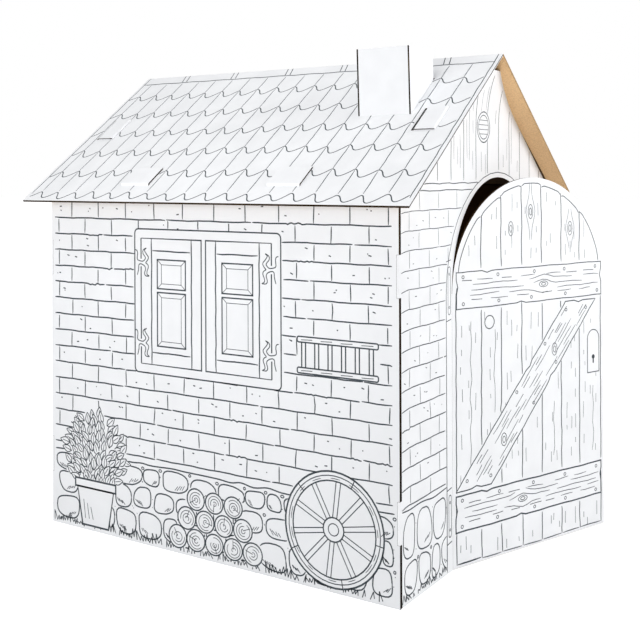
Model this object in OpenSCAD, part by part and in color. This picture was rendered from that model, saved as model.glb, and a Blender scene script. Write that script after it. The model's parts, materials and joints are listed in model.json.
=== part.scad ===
// Card playhouse of folded corrugated board, held together by tabs, notches and slots.
// Millimetres, Z up. The ridge runs along Y, and the front gable with the door faces -Y.

/* [House] */
// Width over the outer faces of the side walls
house_w = 835; // [700:5:1100]
// Length over the outer faces of the gables
house_l = 1000; // [850:5:1400]
// Height of the side walls
wall_h = 844; // [700:2:1100]
// Slope of the roof, in degrees
roof_pitch = 36.2; // [30:0.1:40]
// Thickness of the corrugated board
board = 5; // [3:0.5:7]

/* [Roof] */
// How far the roof reaches past the side walls, measured level
eave_reach = 50; // [30:1:90]
// How far the roof reaches past the gables
verge_reach = 50; // [35:1:90]
// Width of the flat cut at the tip of each gable
tip_cut_w = 84; // [20:2:140]
// How far the free tip of the front gable bows outwards
tip_bow = 25; // [2:1:30]
// Gap that opens below each gable tab, between the gable and the roof, at the side walls
gable_ease = 6; // [0:0.5:10]

/* [Door] */
// Width of the doorway
door_w = 514; // [400:2:540]
// How far the arch of the doorway rises above the tops of the side walls
door_rise = 23; // [-60:1:60]
// Distance from the left wall's outer face to the crease that the door turns on
hinge_inset = 243; // [100:1:250]
// How far the door stands open, in degrees
door_open = 21.4; // [2:0.1:140]
// Width of the cut around the door
door_kerf = 1; // [0.5:0.1:3]
// Height of the door's lower edge above the floor
door_lift = 2; // [1:0.5:10]

/* [Tabs] */
// Width of every tab
tab_w = 87; // [50:1:110]
// Length of a wall tab past its fold
tab_l = 60; // [30:1:75]
// Length of a gable tab between its two folds
gable_tab_l = 42; // [30:1:62]
// Length of a gable tab's end that tucks down into the roof
tuck_l = 14; // [9:1:25]
// Distance of the wall tabs from the middle of the wall
wall_tab_y = 216; // [150:1:300]
// Distance of the gable tabs from the ridge, measured down the slope
gable_tab_s = 270; // [200:1:320]
// Width of the flanges that fold in behind the side walls
flange_w = 60; // [30:1:90]
// Room around a tab in its slot or notch
slot_play = 0.5; // [0.2:0.1:1.5]
// Further room behind the gable tabs, towards the rear, where the roof has slid back
slot_slack = 7; // [0.5:0.5:9]

/* [Chimney] */
// Width of the chimney along the ridge
chimney_w = 138; // [100:1:180]
// Depth of the chimney across the ridge
chimney_d = 115; // [80:1:130]
// Distance of the chimney's lower face from the ridge line, measured level
chimney_x = 200; // [160:1:240]
// Distance of the chimney's middle from the front gable
chimney_inset = 155; // [150:1:300]
// Height of the chimney's top above the ridge
chimney_rise = 8; // [0:1:120]
// Lean of the chimney along the ridge, in degrees
chimney_lean = 1.5; // [0:0.1:4]
// Width of the flanges that fold in behind the chimney's sides
chimney_flange_w = 32; // [15:1:36]
// Length of the tongues that reach below the roof
tongue_l = 28; // [15:1:50]
// How far the tongue slots run past the chimney's upper face
slot_tail = 8; // [2:1:12]

/* [Hidden] */
$fn = 96;
card = "whitesmoke";

// Gap left along the door's crease
hinge_gap = 0.3;
// Reach of the mask that trims a fold's round back
fold_reach = 2 * board;
// How far a cut runs past the face it starts from
overrun = board;

half_w = house_w / 2;
half_l = house_l / 2;
// The gables end against the inner faces of the side walls
gable_half_w = half_w - board;
roof_l = house_l + 2 * verge_reach;

// Height of the line where the two outer roof faces would meet
ridge_h = wall_h + half_w * tan(roof_pitch) + board / cos(roof_pitch);

// Heights of the roof's outer face and underside at a level distance x from the ridge
function outer_z(x) = ridge_h - x * tan(roof_pitch);
function under_z(x) = outer_z(x) - board / cos(roof_pitch);
function polar(r, a) = [r * cos(a), r * sin(a)];

crease_z = under_z(0);
tip_z = under_z(tip_cut_w / 2);

// The gable tip is free from the middle of its tabs upwards
bow_z = under_z(gable_tab_s * cos(roof_pitch));
bow_h = tip_z - bow_z;
bow_r = (bow_h * bow_h + tip_bow * tip_bow) / (2 * tip_bow);

hinge_x = hinge_inset - half_w;
door_r = door_w / 2;
spring_z = wall_h + door_rise - door_r;
door_reach = door_w - door_kerf;

// Heights of the middles of the corner tabs, as shares of the wall's height
corner_tab_shares = [0.204, 0.793];

chimney_y = half_l - chimney_inset;
chimney_top = ridge_h + chimney_rise;
// Tongues take the middle of the chimney's sides
tongue_in_share = 0.15;
tongue_in = tongue_in_share * chimney_d;
chimney_base_z = outer_z(chimney_x);

// The frame's origin is under the middle of the whole box, with the door as it stands
front_y = -half_l - max(door_reach * sin(door_open), verge_reach);
frame_y = -(front_y + half_l + verge_reach) / 2;

// Extrudes an outline drawn in Y and Z along X
module along_x(w) {
  rotate([90, 0, 90]) linear_extrude(w, center = true) children();
}

// Extrudes an outline drawn in X and Z along Y
module along_y(l) {
  rotate([90, 0, 0]) linear_extrude(l, center = true) children();
}

// Draws on a roof slope: X down the slope from the ridge, Z out from the outer face
module on_slope() {
  translate([0, 0, ridge_h]) rotate([0, roof_pitch, 0]) children();
}

module both_sides() {
  children();
  mirror([1, 0, 0]) children();
}

module in_frame() {
  translate([0, frame_y, 0]) children();
}

// Section of board folded about a crease at the origin, with the round back of the fold
module fold(leg_in, leg_out, bend) {
  translate([0, -leg_in]) square([board, leg_in]);
  rotate(bend) square([board, leg_out]);
  intersection() {
    circle(board);
    polygon(concat([[0, 0]], [for (a = [-90, -45, bend / 2, bend + 45, bend + 90]) polar(fold_reach, a)]));
  }
}

// Places its children at each corner tab's height
module at_corner_tabs() {
  for (share = corner_tab_shares) translate([0, 0, share * wall_h]) children();
}

// Box about the middle of a corner tab, from x0 to x1, y deep from the gable's face
module corner_tab_box(x0, x1, y, play) {
  h = tab_w + 2 * play;
  translate([x0, -half_l, -h / 2]) cube([x1 - x0, y, h]);
}

// Side wall, drawn at the right: notched ends, and tabs folded up the roof slope
module side_wall() {
  difference() {
    translate([gable_half_w, -half_l, 0]) cube([board, house_l, wall_h]);
    for (end = [0, 1]) mirror([0, end, 0]) at_corner_tabs() {
      translate([0, -overrun, 0])
        corner_tab_box(gable_half_w - overrun, half_w + overrun, board + slot_play + overrun, slot_play);
    }
  }
  neck = outer_z(gable_half_w) - wall_h + overrun;
  for (y = [-wall_tab_y, wall_tab_y]) translate([0, y, 0]) along_y(tab_w) {
    translate([gable_half_w, outer_z(gable_half_w)]) fold(neck, tab_l, 90 - roof_pitch);
  }
}

// Outline of a gable: level foot, slopes close under the roof from the tabs up, tip cut flat
module gable_outline() {
  below_tab = (gable_tab_s + tab_w / 2 + board) * cos(roof_pitch);
  slope = [
    [half_w, under_z(half_w) - gable_ease], [below_tab, under_z(below_tab)], [tip_cut_w / 2, tip_z]
  ];
  polygon([
    [-half_w, 0], [half_w, 0], for (q = slope) q,
    for (i = [2, 1, 0]) [-slope[i].x, slope[i].y]
  ]);
}

// Plan of the gable sheet: the panel and a flange folded back at each side
module gable_plan() {
  crease = [gable_half_w - board, board - half_l];
  translate([-crease.x, -half_l]) square([2 * crease.x, board]);
  for (side = [0, 1]) mirror([side, 0]) translate(crease) mirror([0, 1]) fold(flange_w, board, 90);
}

// Section of the free tip, bowed outwards on one arc
module bowed_tip() {
  intersection() {
    translate([-half_l - bow_r, bow_z]) difference() {
      circle(bow_r + board);
      circle(bow_r);
    }
    translate([-half_l - bow_r, bow_z - board]) square([bow_r + board, bow_h + 2 * board]);
  }
}

// Gable tabs: through the roof, folded flat towards the middle of the house and tucked in again
module gable_roof_tabs() {
  both_sides() on_slope() translate([gable_tab_s, board - half_l, 0]) {
    along_x(tab_w) mirror([1, 0]) fold(board + overrun, gable_tab_l, 90);
    translate([0, gable_tab_l, 0]) along_x(tab_w) fold(tuck_l, board, 90);
  }
}

// Gable sheet at the front, with a bowed or an upright tip
module gable_sheet(bowed) {
  difference() {
    intersection() {
      union() {
        linear_extrude(bowed ? bow_z : tip_z) gable_plan();
        if (bowed) along_x(house_w) bowed_tip();
      }
      along_y(2 * house_l) gable_outline();
    }
    both_sides() at_corner_tabs() {
      corner_tab_box(gable_half_w - board, half_w, 2 * board + slot_play, slot_play);
    }
  }
  both_sides() at_corner_tabs() corner_tab_box(gable_half_w - fold_reach, half_w, board, 0);
  gable_roof_tabs();
}

// Outline of the doorway or the door, drawn in from the cut on every side
module door_outline(crease_gap, kerf, lift) {
  translate([hinge_x + crease_gap, lift]) square([door_w - crease_gap - kerf, spring_z - lift]);
  intersection() {
    translate([hinge_x + door_r, spring_z]) circle(door_r - kerf);
    translate([hinge_x + crease_gap, spring_z - board]) square([door_w, door_r + board]);
  }
}

module left_wall() {
  color(card) in_frame() mirror([1, 0, 0]) side_wall();
}

module right_wall() {
  color(card) in_frame() side_wall();
}

module front_gable() {
  color(card) in_frame() difference() {
    gable_sheet(bowed = true);
    translate([0, -half_l, 0]) along_y(2 * (board + overrun)) {
      translate([0, -overrun]) door_outline(0, 0, 0);
      door_outline(0, 0, 0);
    }
  }
}

module rear_gable() {
  color(card) in_frame() mirror([0, 1, 0]) gable_sheet(bowed = false);
}

// The door is drawn shut, then turned about its crease on the gable's outer face
module door() {
  color(card) in_frame() translate([hinge_x, -half_l, 0]) rotate([0, 0, -door_open]) {
    translate([-hinge_x, board / 2, 0]) along_y(board) door_outline(hinge_gap, door_kerf, door_lift);
  }
}

// Section of the roof sheet with its round fold at the ridge
module roof_section() {
  eave_x = half_w + eave_reach;
  across = polar(board, 90 - roof_pitch);
  eave = [[eave_x, outer_z(eave_x)], [eave_x, outer_z(eave_x)] - across];
  polygon([
    for (q = [eave[0], [0, crease_z] + across]) q,
    for (q = [[0, crease_z] + across, eave[0], eave[1]]) [-q.x, q.y],
    [0, crease_z], eave[1]
  ]);
  intersection() {
    translate([0, crease_z]) circle(board);
    translate([-board, crease_z]) square([2 * board, board]);
  }
}

module wall_tab_slots() {
  w = tab_w + 2 * slot_play;
  for (y = [-wall_tab_y, wall_tab_y]) {
    translate([gable_half_w - slot_play, y - w / 2, wall_h - board]) {
      cube([board + 2 * slot_play, w, outer_z(gable_half_w) - wall_h + fold_reach]);
    }
  }
}

// Slots that the gable tabs come up through and tuck back into, longer towards the rear
module gable_tab_slots() {
  w = tab_w + 2 * slot_play;
  front = [-half_l, board - half_l + gable_tab_l];
  for (y = concat(front, [for (q = front) -q - board])) on_slope() {
    translate([gable_tab_s - w / 2, y - slot_play, -board - overrun]) {
      cube([w, board + 2 * slot_play + slot_slack, board + 2 * overrun]);
    }
  }
}

module roof() {
  color(card) in_frame() difference() {
    along_y(roof_l) roof_section();
    both_sides() wall_tab_slots();
    both_sides() gable_tab_slots();
    for (side = [-1, 1]) chimney_tongue_slot(side);
  }
}

// Block of the leaning chimney between two distances from the ridge and two from the chimney's middle,
// standing on the left slope or dropped below it
module chimney_block(x0, x1, y0, y1, drop = 0, top = chimney_top) {
  low = min(outer_z(x0), outer_z(x1)) - drop;
  shift = [for (z = [low, top]) (z - chimney_base_z) * tan(chimney_lean) - chimney_y];
  intersection() {
    along_y(2 * house_l) polygon([[-x0, outer_z(x0) - drop], [-x0, top], [-x1, top], [-x1, outer_z(x1) - drop]]);
    along_x(2 * house_w) polygon([
      [y0 + shift[0], low], [y1 + shift[0], low], [y1 + shift[1], top], [y0 + shift[1], top]
    ]);
  }
}

// Panel with its two sides folded in, facing away from the ridge or towards it
module chimney_panel(face, inwards) {
  inner = chimney_w / 2 - board;
  back = face + inwards * board;
  chimney_block(face, back, -inner, inner);
  for (side = [-1, 1]) {
    edges = [side * inner, side * (inner - board)];
    chimney_block(face, back + inwards * chimney_flange_w, min(edges), max(edges));
  }
}

// Side panel with the tongue that goes through the roof
module chimney_side(side) {
  edges = [side * chimney_w / 2, side * (chimney_w / 2 - board)];
  chimney_block(chimney_x, chimney_x - chimney_d, min(edges), max(edges));
  chimney_block(
    chimney_x - tongue_in, chimney_x - chimney_d + tongue_in, min(edges), max(edges), board + tongue_l
  );
}

module chimney_tongue_slot(side) {
  edges = [side * chimney_w / 2, side * (chimney_w / 2 - board)];
  chimney_block(
    chimney_x - tongue_in + slot_play, chimney_x - chimney_d - slot_tail,
    min(edges) - slot_play, max(edges) + slot_play, board + overrun + tongue_l
  );
}

module chimney_lower_panel() {
  color(card) in_frame() chimney_panel(chimney_x, -1);
}

module chimney_upper_panel() {
  color(card) in_frame() chimney_panel(chimney_x - chimney_d, 1);
}

module chimney_near_side() {
  color(card) in_frame() chimney_side(-1);
}

module chimney_far_side() {
  color(card) in_frame() chimney_side(1);
}

left_wall();
right_wall();
front_gable();
rear_gable();
door();
roof();
chimney_lower_panel();
chimney_upper_panel();
chimney_near_side();
chimney_far_side();
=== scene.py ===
"""Looks of a folded card playhouse: white-faced corrugated board with line drawings to colour in."""

import json
import math
import random

import bpy
from mathutils import Matrix, Vector


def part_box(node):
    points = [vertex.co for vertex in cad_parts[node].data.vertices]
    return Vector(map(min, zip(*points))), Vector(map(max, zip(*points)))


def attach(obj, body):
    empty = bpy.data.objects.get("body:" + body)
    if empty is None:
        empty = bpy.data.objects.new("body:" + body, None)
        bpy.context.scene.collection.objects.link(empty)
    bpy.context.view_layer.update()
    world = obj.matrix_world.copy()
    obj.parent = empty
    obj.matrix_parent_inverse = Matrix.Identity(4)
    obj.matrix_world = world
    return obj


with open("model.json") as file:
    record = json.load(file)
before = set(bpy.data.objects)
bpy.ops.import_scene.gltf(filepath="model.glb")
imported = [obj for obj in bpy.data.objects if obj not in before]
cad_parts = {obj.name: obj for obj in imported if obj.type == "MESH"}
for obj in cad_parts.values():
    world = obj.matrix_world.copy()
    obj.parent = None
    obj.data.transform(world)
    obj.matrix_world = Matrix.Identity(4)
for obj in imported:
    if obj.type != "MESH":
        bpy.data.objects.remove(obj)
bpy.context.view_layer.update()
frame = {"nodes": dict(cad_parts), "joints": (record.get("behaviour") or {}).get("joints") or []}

# The board's thickness and its slopes, which the frame's boxes do not show
MM = 0.001
BOARD = 5 * MM
ROOF_PITCH = math.radians(36.2)
SLOPE_COS = math.cos(ROOF_PITCH)
SLOPE_SIN = math.sin(ROOF_PITCH)
CHIMNEY_LEAN = math.tan(math.radians(1.5))

# Places of the card, in metres, read from the frame
wall_low, wall_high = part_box("left_wall")
right_wall_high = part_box("right_wall")[1]
front_gable_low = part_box("front_gable")[0]
roof_low, roof_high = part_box("roof")
chimney_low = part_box("chimney_lower_panel")[0]
chimney_near_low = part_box("chimney_near_side")[0]
chimney_far_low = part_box("chimney_far_side")[0]

LEFT_FACE = wall_low.x
RIGHT_FACE = right_wall_high.x
FRONT_FACE = wall_low.y
REAR_FACE = wall_high.y
MIDDLE_Y = (FRONT_FACE + REAR_FACE) / 2
RIDGE_Z = roof_high.z - BOARD + BOARD / SLOPE_COS

door_hinge = frame["joints"][0]
HINGE = Vector(door_hinge["pos_m"])
DOOR_OPEN = -math.radians(door_hinge["range_deg"][0])
DOOR_ALONG = Vector((math.cos(DOOR_OPEN), -math.sin(DOOR_OPEN), 0))
DOOR_OUT = Vector((-math.sin(DOOR_OPEN), -math.cos(DOOR_OPEN), 0))

# The same sizes in millimetres, for drawing on the flat sheets
WALL_L = (REAR_FACE - FRONT_FACE) / MM
GABLE_W = (RIGHT_FACE - LEFT_FACE) / MM
ROOF_HALF_L = (roof_high.y - roof_low.y) / 2 / MM
RIDGE_MM = RIDGE_Z / MM
BOARD_MM = BOARD / MM
HINGE_X = HINGE.x / MM
DOORWAY_W = 514
DOOR_R = DOORWAY_W / 2
SPRING_Z = 610
GABLE_TAB_S = 270
TIP_CUT = 42

# The free tip of the front gable bows outwards on one arc
BOW_FROM = RIDGE_Z - GABLE_TAB_S * MM * SLOPE_SIN - BOARD / SLOPE_COS
BOW_OUT = FRONT_FACE - front_gable_low.y
BOW_RISE = RIDGE_Z - BOARD / SLOPE_COS - TIP_CUT * MM * SLOPE_SIN / SLOPE_COS - BOW_FROM
BOW_R = (BOW_RISE ** 2 + BOW_OUT ** 2) / (2 * BOW_OUT)

# Board and ink
FLUTE_PITCH = 7.5 * MM
LINER = 0.7 * MM
FIBRE_RISE = 0.06 * MM
RIB_SHARE = 0.35
FLUTE_RISE = 0.3 * MM
INK_RISE = 0.12 * MM

# Widths of the pen, in millimetres
BOLD = 4.0
LINE = 3.1
FINE = 2.2
FAINT = 1.6
HAIR = 1.2

# Colours
WHITE_CARD = (0.845, 0.855, 0.875, 1)
WHITE_CARD_DULL = (0.80, 0.81, 0.83, 1)
# Painted light under the eaves, and painted shade towards the walls' foot and front
WHITE_CARD_PAINTED_LIGHT = (0.92, 0.945, 0.98, 1)
WHITE_CARD_PAINTED_SHADE = (0.725, 0.735, 0.755, 1)
# Kraft brighter than kraft is: painted light on the roof's verges
KRAFT_PAINTED_LIGHT = (0.99, 0.66, 0.345, 1)
KRAFT_PAINTED_LIGHT_WARM = (0.87, 0.56, 0.285, 1)
KRAFT = (0.62, 0.385, 0.185, 1)
KRAFT_DARK = (0.42, 0.255, 0.12, 1)
KRAFT_DULL = (0.565, 0.35, 0.168, 1)
# Near-black kraft as painted shade inside the house; both also colour flecks
KRAFT_SHADE_AND_FLECK = (0.135, 0.078, 0.037, 1)
KRAFT_SHADE_DARKER_AND_FLECK = (0.12, 0.069, 0.032, 1)
RAW_EDGE = (0.080, 0.046, 0.019, 1)
RAW_EDGE_DARK = (0.048, 0.027, 0.012, 1)
# Painted shade in the hollows between the flutes of a cut edge
FLUTE_HOLLOW_SHADE = (0.006, 0.003, 0.002, 1)
INK = (0.035, 0.046, 0.055, 1)
INK_THIN = (0.060, 0.075, 0.088, 1)
FLOOR_WHITE = (0.93, 0.93, 0.93, 1)


# Shader building blocks

def node(tree, kind, **settings):
    made = tree.nodes.new(kind)
    for name, value in settings.items():
        setattr(made, name, value)
    return made


def feed(tree, socket, value):
    """Links a socket to another node's output, or sets it to a constant."""
    if isinstance(value, bpy.types.NodeSocket):
        tree.links.new(value, socket)
    else:
        socket.default_value = value


def math_node(tree, operation, first, second=None):
    made = node(tree, "ShaderNodeMath", operation=operation)
    feed(tree, made.inputs[0], first)
    if second is not None:
        feed(tree, made.inputs[1], second)
    return made.outputs[0]


def dot_product(tree, first, second):
    made = node(tree, "ShaderNodeVectorMath", operation="DOT_PRODUCT")
    feed(tree, made.inputs[0], first)
    feed(tree, made.inputs[1], second)
    return made.outputs["Value"]


def split(tree, place):
    """The x, y and z of a place."""
    made = node(tree, "ShaderNodeSeparateXYZ")
    tree.links.new(place, made.inputs["Vector"])
    return tuple(made.outputs)


def noise(tree, vector, scale, detail):
    made = node(tree, "ShaderNodeTexNoise")
    made.inputs["Scale"].default_value = scale
    made.inputs["Detail"].default_value = detail
    tree.links.new(vector, made.inputs["Vector"])
    return made.outputs["Fac"]


def ramp(tree, value, low, high):
    made = node(tree, "ShaderNodeMapRange")
    made.inputs["From Min"].default_value = low
    made.inputs["From Max"].default_value = high
    tree.links.new(value, made.inputs["Value"])
    return made.outputs["Result"]


def blend_colours(tree, mask, first, second):
    made = node(tree, "ShaderNodeMix", data_type="RGBA")
    tree.links.new(mask, made.inputs["Factor"])
    feed(tree, made.inputs[6], first)
    feed(tree, made.inputs[7], second)
    return made.outputs[2]


def new_group(name, inputs, outputs):
    group = bpy.data.node_groups.new(name, "ShaderNodeTree")
    for title, kind in inputs:
        group.interface.new_socket(title, in_out="INPUT", socket_type=kind)
    for title, kind in outputs:
        group.interface.new_socket(title, in_out="OUTPUT", socket_type=kind)
    return group, node(group, "NodeGroupInput"), node(group, "NodeGroupOutput")


def paper_group():
    """Soft mottle, small flecks and fine fibres of a paper face."""
    group, given, made = new_group(
        "Paper Face",
        [("Vector", "NodeSocketVector")],
        [("Mottle", "NodeSocketFloat"), ("Fleck", "NodeSocketFloat"), ("Fibre", "NodeSocketFloat")],
    )
    vector = given.outputs["Vector"]
    clouds = noise(group, vector, scale=14, detail=5)
    specks = noise(group, vector, scale=420, detail=2)
    fibres = noise(group, vector, scale=900, detail=3)
    group.links.new(ramp(group, clouds, low=0.35, high=0.65), made.inputs["Mottle"])
    group.links.new(ramp(group, specks, low=0.66, high=0.74), made.inputs["Fleck"])
    group.links.new(fibres, made.inputs["Fibre"])
    return group


def flute_group():
    """Wave of the flutes inside the board, from minus one to one across them."""
    group, given, made = new_group(
        "Board Flutes",
        [("Vector", "NodeSocketVector"), ("Across", "NodeSocketVector")],
        [("Wave", "NodeSocketFloat")],
    )
    reach = dot_product(group, given.outputs["Vector"], given.outputs["Across"])
    turn = math_node(group, "MULTIPLY", reach, 2 * math.pi / FLUTE_PITCH)
    group.links.new(math_node(group, "SINE", turn), made.inputs["Wave"])
    return group


PAPER = paper_group()
FLUTES = flute_group()
PAPER_ROUGHNESS = 0.62
FAINT_FLECKS = 0.5
CLEAR_FLECKS = 0.6


def new_material(name, roughness):
    material = bpy.data.materials.new(name)
    material.use_nodes = True
    tree = material.node_tree
    shader = tree.nodes["Principled BSDF"]
    shader.inputs["Roughness"].default_value = roughness
    shader.inputs["Specular IOR Level"].default_value = 0.3
    place = node(tree, "ShaderNodeTexCoord").outputs["Object"]
    return material, tree, shader, place


def use_paper(tree, place):
    made = node(tree, "ShaderNodeGroup", node_tree=PAPER)
    tree.links.new(place, made.inputs["Vector"])
    return made.outputs


def use_flutes(tree, place, across):
    made = node(tree, "ShaderNodeGroup", node_tree=FLUTES)
    tree.links.new(place, made.inputs["Vector"])
    made.inputs["Across"].default_value = across
    return made.outputs["Wave"]


def relief(tree, shader, height, reach):
    bump = node(tree, "ShaderNodeBump")
    bump.inputs["Distance"].default_value = reach
    bump.inputs["Strength"].default_value = 0.5
    tree.links.new(height, bump.inputs["Height"])
    tree.links.new(bump.outputs["Normal"], shader.inputs["Normal"])


# Painted light and shade: heights between which the tone of the card changes, and where along a wall it
# starts to
UNDER_EAVES = (0.72, 0.80)
FOOT_SHADE_HEIGHTS = (0.72, 0.16)
FOOT_SHADE_FROM = REAR_FACE + 0.4
CORNER_SHADE = (0.62, 0.2)
GABLE_GAP_SHADE_HEIGHTS = (0.99, 0.88)
GABLE_GAP_SHADE_W = 0.8 * BOARD


def wall_painted_light_and_shade(tree, place, tone):
    """Tone of a side wall: painted light under the eaves, and painted shade greying it towards the foot and
    the front.
    """
    x, y, z = split(tree, place)
    upright = math_node(tree, "GREATER_THAN", math_node(tree, "ABSOLUTE", x), RIGHT_FACE - MM)
    # Painted light under the eaves, on the side walls only
    under_eave_light = math_node(tree, "MULTIPLY", ramp(tree, z, *UNDER_EAVES), upright)
    # Painted shade towards the foot and the front
    forward = ramp(tree, y, FOOT_SHADE_FROM, FRONT_FACE)
    foot_shade = math_node(tree, "MULTIPLY", ramp(tree, z, *FOOT_SHADE_HEIGHTS), forward)
    lit_tone = blend_colours(tree, under_eave_light, tone, WHITE_CARD_PAINTED_LIGHT)
    return blend_colours(tree, foot_shade, lit_tone, WHITE_CARD_PAINTED_SHADE)


def corner_painted_shade(tree, place, tone):
    """Tone of the walls' cut ends: painted shade of the gap in the corner seam, darker towards the foot."""
    height = split(tree, place)[2]
    return blend_colours(tree, ramp(tree, height, *CORNER_SHADE), tone, FLUTE_HOLLOW_SHADE)


def liner_material(name, across, bright, dull, fleck_colour, fleck_share, painted_shading=None):
    """Paper face of the board: mottle, flecks, fibres and a faint washboard over the flutes, and any
    painted light and shade given.
    """
    material, tree, shader, place = new_material(name, PAPER_ROUGHNESS)
    paper = use_paper(tree, place)
    wave = use_flutes(tree, place, across)
    tone = blend_colours(tree, paper["Mottle"], bright, dull)
    if painted_shading:
        tone = painted_shading(tree, place, tone)
    flecks = math_node(tree, "MULTIPLY", paper["Fleck"], fleck_share)
    tree.links.new(blend_colours(tree, flecks, tone, fleck_colour), shader.inputs["Base Color"])
    ribs = math_node(tree, "MULTIPLY", wave, RIB_SHARE)
    relief(tree, shader, math_node(tree, "ADD", ribs, paper["Fibre"]), FIBRE_RISE)
    return material


def roof_kraft_material():
    """Underside of the roof: painted light at the verges, darker between them, and painted shade over the
    room and in a thin line by the gables.
    """
    material, tree, shader, place = new_material("kraft_liner_roof", PAPER_ROUGHNESS)
    paper = use_paper(tree, place)
    x, y, z = split(tree, place)
    from_middle = math_node(tree, "ABSOLUTE", math_node(tree, "SUBTRACT", y, MIDDLE_Y))
    # A thin strip of painted shade beside the gables, fading out towards the ridge
    gap_shade = math_node(tree, "MULTIPLY", ramp(tree, z, *GABLE_GAP_SHADE_HEIGHTS), GABLE_GAP_SHADE_W)
    from_gap = math_node(tree, "SUBTRACT", from_middle, gap_shade)
    between = math_node(tree, "LESS_THAN", from_gap, REAR_FACE - MIDDLE_Y)
    within = math_node(tree, "LESS_THAN", math_node(tree, "ABSOLUTE", x), RIGHT_FACE)
    speckle = ramp(tree, noise(tree, place, scale=260, detail=3), low=0.4, high=0.6)
    lit_tone = blend_colours(tree, speckle, KRAFT_PAINTED_LIGHT, KRAFT_PAINTED_LIGHT_WARM)
    # Darker kraft under the eaves, and painted shade near-black over the room
    dull = blend_colours(tree, within, KRAFT_DARK, KRAFT_SHADE_AND_FLECK)
    tone = blend_colours(tree, between, lit_tone, dull)
    flecks = math_node(tree, "MULTIPLY", paper["Fleck"], FAINT_FLECKS)
    tree.links.new(blend_colours(tree, flecks, tone, KRAFT_SHADE_AND_FLECK), shader.inputs["Base Color"])
    relief(tree, shader, paper["Fibre"], FIBRE_RISE)
    return material


def raw_edge_material(name, across, through, face, liner_colour=RAW_EDGE, liner_share=1, painted_shading=None):
    """Cut edge of the board: a liner at each face and the fluted sheet waving between them, with painted
    shade in the hollows and any further painted shade given.
    """
    material, tree, shader, place = new_material("raw_edge_" + name, roughness=0.85)
    shader.inputs["Specular IOR Level"].default_value = 0.06
    wave = use_flutes(tree, place, across)
    shifted = math_node(tree, "ADD", dot_product(tree, place, through), face)
    level = math_node(tree, "FLOORED_MODULO", shifted, BOARD)
    middle = math_node(tree, "SUBTRACT", level, BOARD / 2)
    crest = math_node(tree, "MULTIPLY", wave, BOARD / 2 - LINER)
    from_sheet = math_node(tree, "ABSOLUTE", math_node(tree, "SUBTRACT", middle, crest))
    sheet = math_node(tree, "LESS_THAN", from_sheet, LINER)
    liner_from = BOARD / 2 - LINER * liner_share
    liner = math_node(tree, "GREATER_THAN", math_node(tree, "ABSOLUTE", middle), liner_from)
    solid = math_node(tree, "MAXIMUM", sheet, liner)
    paper = use_paper(tree, place)
    kraft = blend_colours(tree, paper["Mottle"], RAW_EDGE, RAW_EDGE_DARK)
    fluted = blend_colours(tree, sheet, FLUTE_HOLLOW_SHADE, kraft)
    tone = blend_colours(tree, liner, fluted, liner_colour)
    if painted_shading:
        tone = painted_shading(tree, place, tone)
    tree.links.new(tone, shader.inputs["Base Color"])
    relief(tree, shader, solid, FLUTE_RISE)
    return material


def ink_material():
    material, tree, shader, place = new_material("printing_ink", roughness=0.7)
    uneven = ramp(tree, noise(tree, place, scale=60, detail=4), low=0.35, high=0.7)
    tree.links.new(blend_colours(tree, uneven, INK, INK_THIN), shader.inputs["Base Color"])
    return material


# Finishes of the card, by the way each sheet's flutes run

UPRIGHT = (1, 1, 0)
DOOR_ACROSS = tuple(DOOR_ALONG)
DOWN_SLOPE = (0, 0, 1 / SLOPE_SIN)
ALONG_WALL = (0, 1, 0)


def white_liner(name, across, painted_shading=None):
    return liner_material(
        "white_liner_" + name, across, WHITE_CARD, WHITE_CARD_DULL, WHITE_CARD_DULL, FAINT_FLECKS, painted_shading)


WHITE_SHEETS = {
    "wall": white_liner("walls", UPRIGHT, wall_painted_light_and_shade),
    "upright": white_liner("gables", UPRIGHT),
    "door": white_liner("door", DOOR_ACROSS),
    "roof": white_liner("roof", DOWN_SLOPE),
}
# Painted shade: the inner kraft faces of the walls and gables near-black, as the room is dark
SHADED_INSIDE_LINER = liner_material(
    "kraft_liner_inside", UPRIGHT, KRAFT_SHADE_AND_FLECK, KRAFT_SHADE_DARKER_AND_FLECK, KRAFT_SHADE_DARKER_AND_FLECK, CLEAR_FLECKS)
KRAFT_SHEETS = {
    "wall": SHADED_INSIDE_LINER,
    "upright": SHADED_INSIDE_LINER,
    "door": liner_material("kraft_liner_door", DOOR_ACROSS, KRAFT, KRAFT_DULL, KRAFT_DARK, CLEAR_FLECKS),
    "roof": roof_kraft_material(),
}

# Cut edges, by the way through the board from its white face, and that face's place on it
INTO_LEFT_SLOPE = (SLOPE_SIN, 0, -SLOPE_COS)
INTO_RIGHT_SLOPE = (-SLOPE_SIN, 0, -SLOPE_COS)
ROOF_FACE = RIDGE_Z * SLOPE_COS
THROUGH_CHIMNEY = (0, 1, -CHIMNEY_LEAN)

# How much of a cut edge its liners take up, against their own thickness
CHIMNEY_LINER = 0.8
FLAP_LINER = 1.2
TAB_LINER = 1.9
VERGE_LINERS = (
    ("left", INTO_LEFT_SLOPE, WHITE_CARD_DULL, 1.9),
    ("right", INTO_RIGHT_SLOPE, KRAFT_DARK, 3),
)

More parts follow.
